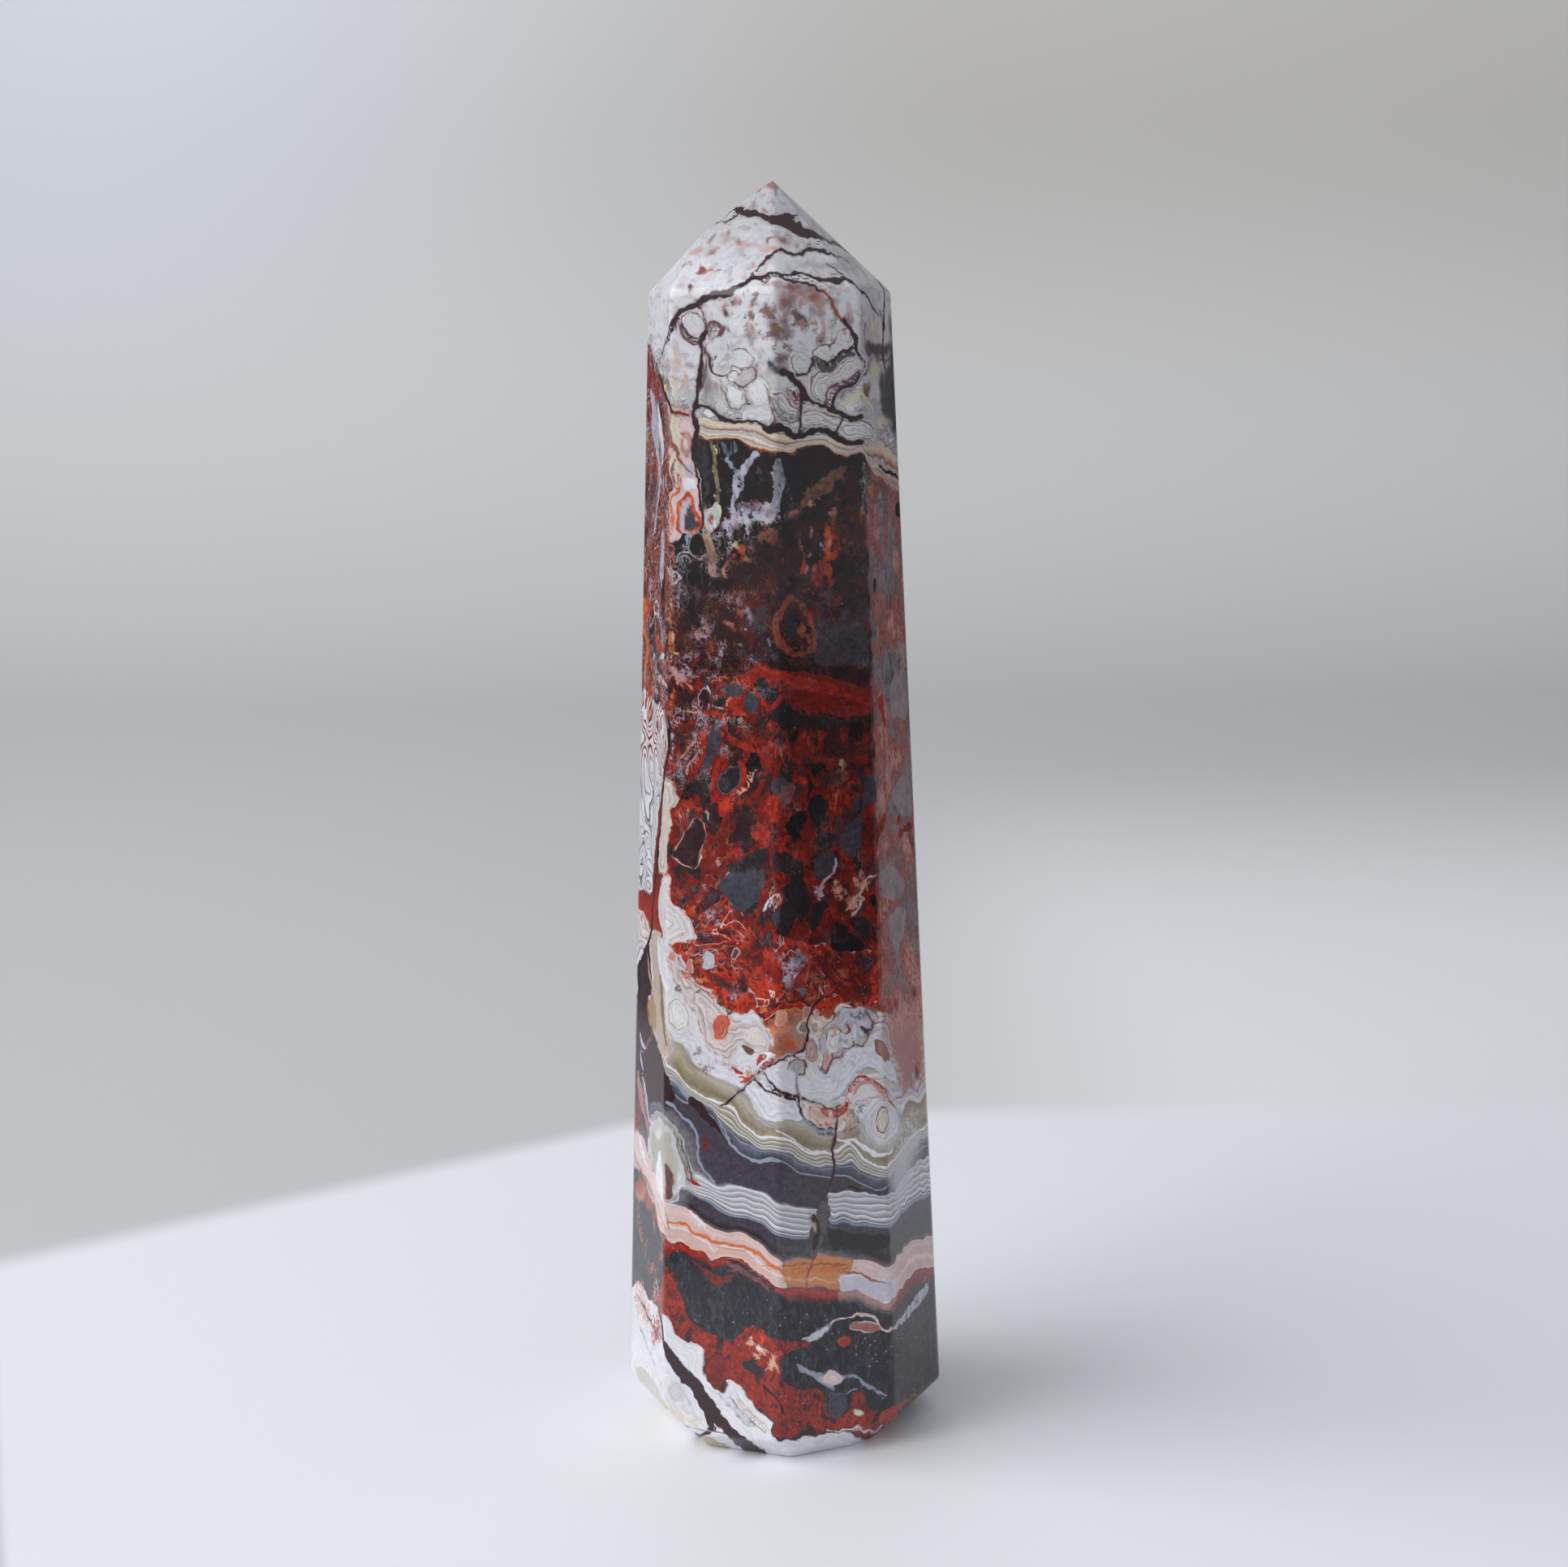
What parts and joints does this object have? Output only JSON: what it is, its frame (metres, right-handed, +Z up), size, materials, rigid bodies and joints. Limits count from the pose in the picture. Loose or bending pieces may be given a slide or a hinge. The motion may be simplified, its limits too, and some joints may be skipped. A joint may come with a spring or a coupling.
{
  "type": "polished crazy lace agate tower",
  "caption": "Free-standing eight-sided tower of polished banded agate and jasper, with a faceted point and a bevelled flat foot.",
  "frame": {"origin": "centre of the bounding box at the underside of the flat foot", "axes": "+Z up the stone from the foot to the point, -Y out of the edge between the two broad front sides"},
  "size_m": [0.0258, 0.0256, 0.0996],
  "materials": {
    "polished_agate": "lapped and polished to a glassy shine, with white lace, red-brown jasper and grey fortification bands"
  },
  "bodies": {
    "root": {"agate_tower": "polished_agate"}
  },
  "joints": []
}
